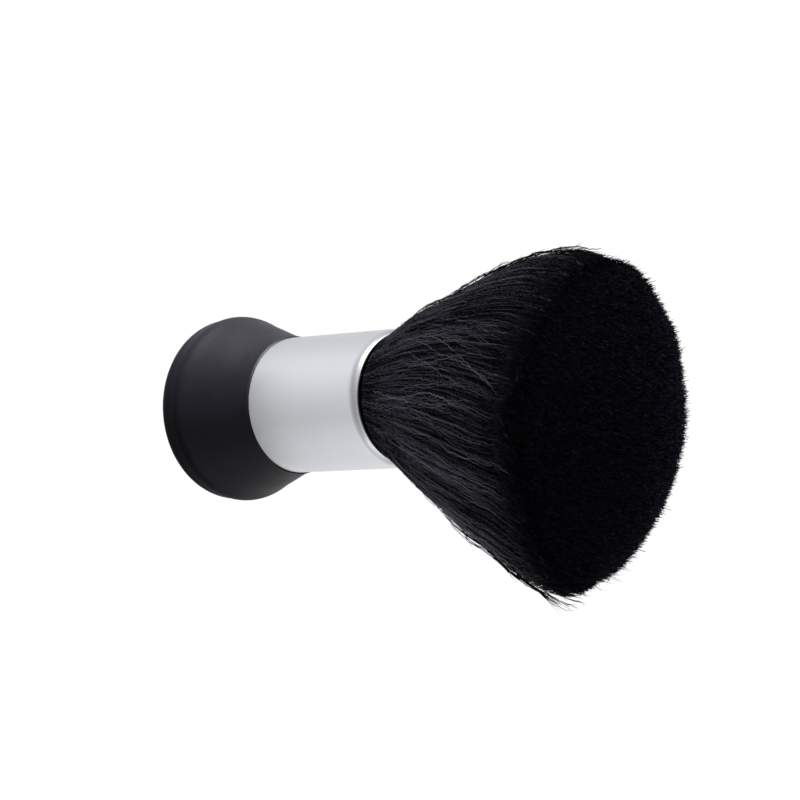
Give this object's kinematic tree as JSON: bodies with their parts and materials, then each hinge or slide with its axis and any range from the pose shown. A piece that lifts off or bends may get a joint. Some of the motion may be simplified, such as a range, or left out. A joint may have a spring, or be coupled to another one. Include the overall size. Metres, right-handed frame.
{
  "type": "neck duster brush",
  "caption": "Neck duster: waisted black knob that stands on its flat base, plain aluminium sleeve with a rolled lip, and a wide flaring tuft of soft black bristles.",
  "frame": {"origin": "centre of the flat underside the brush stands on", "axes": "+Z along the brush axis from the knob to the bristle tips; the tuft is widest along X and leans towards +X"},
  "size_m": [0.0907, 0.0654, 0.1633],
  "materials": {
    "knob": "satin moulded",
    "cover": "matte moulded",
    "ballast": "turned",
    "screw": "zinc plated",
    "insert": "machined",
    "plug": "moulded",
    "sleeve": "satin",
    "cup": "moulded",
    "resin": "cast",
    "cord": "twisted",
    "bristle": "synthetic fibre"
  },
  "bodies": {
    "handle": {"knob_shell": "knob", "base_cover": "cover", "ballast_disc": "ballast", "fixing_screw": "screw", "screw_washer": "screw", "threaded_insert": "insert", "core_plug": "plug", "ferrule": "sleeve", "bristle_cup": "cup", "resin_plug": "resin", "binding_cord": "cord", "bristle_root": "bristle"},
    "tuft": {"bristle_tuft": "bristle"}
  },
  "joints": [
    {"name": "bristle_flex", "type": "hinge", "parent": "handle", "child": "tuft", "pos_m": [0, 0, 0.084], "axis": [0, 1, 0], "range_deg": [-20, 20], "stiffness_Nm_per_rad": 0.15}
  ]
}
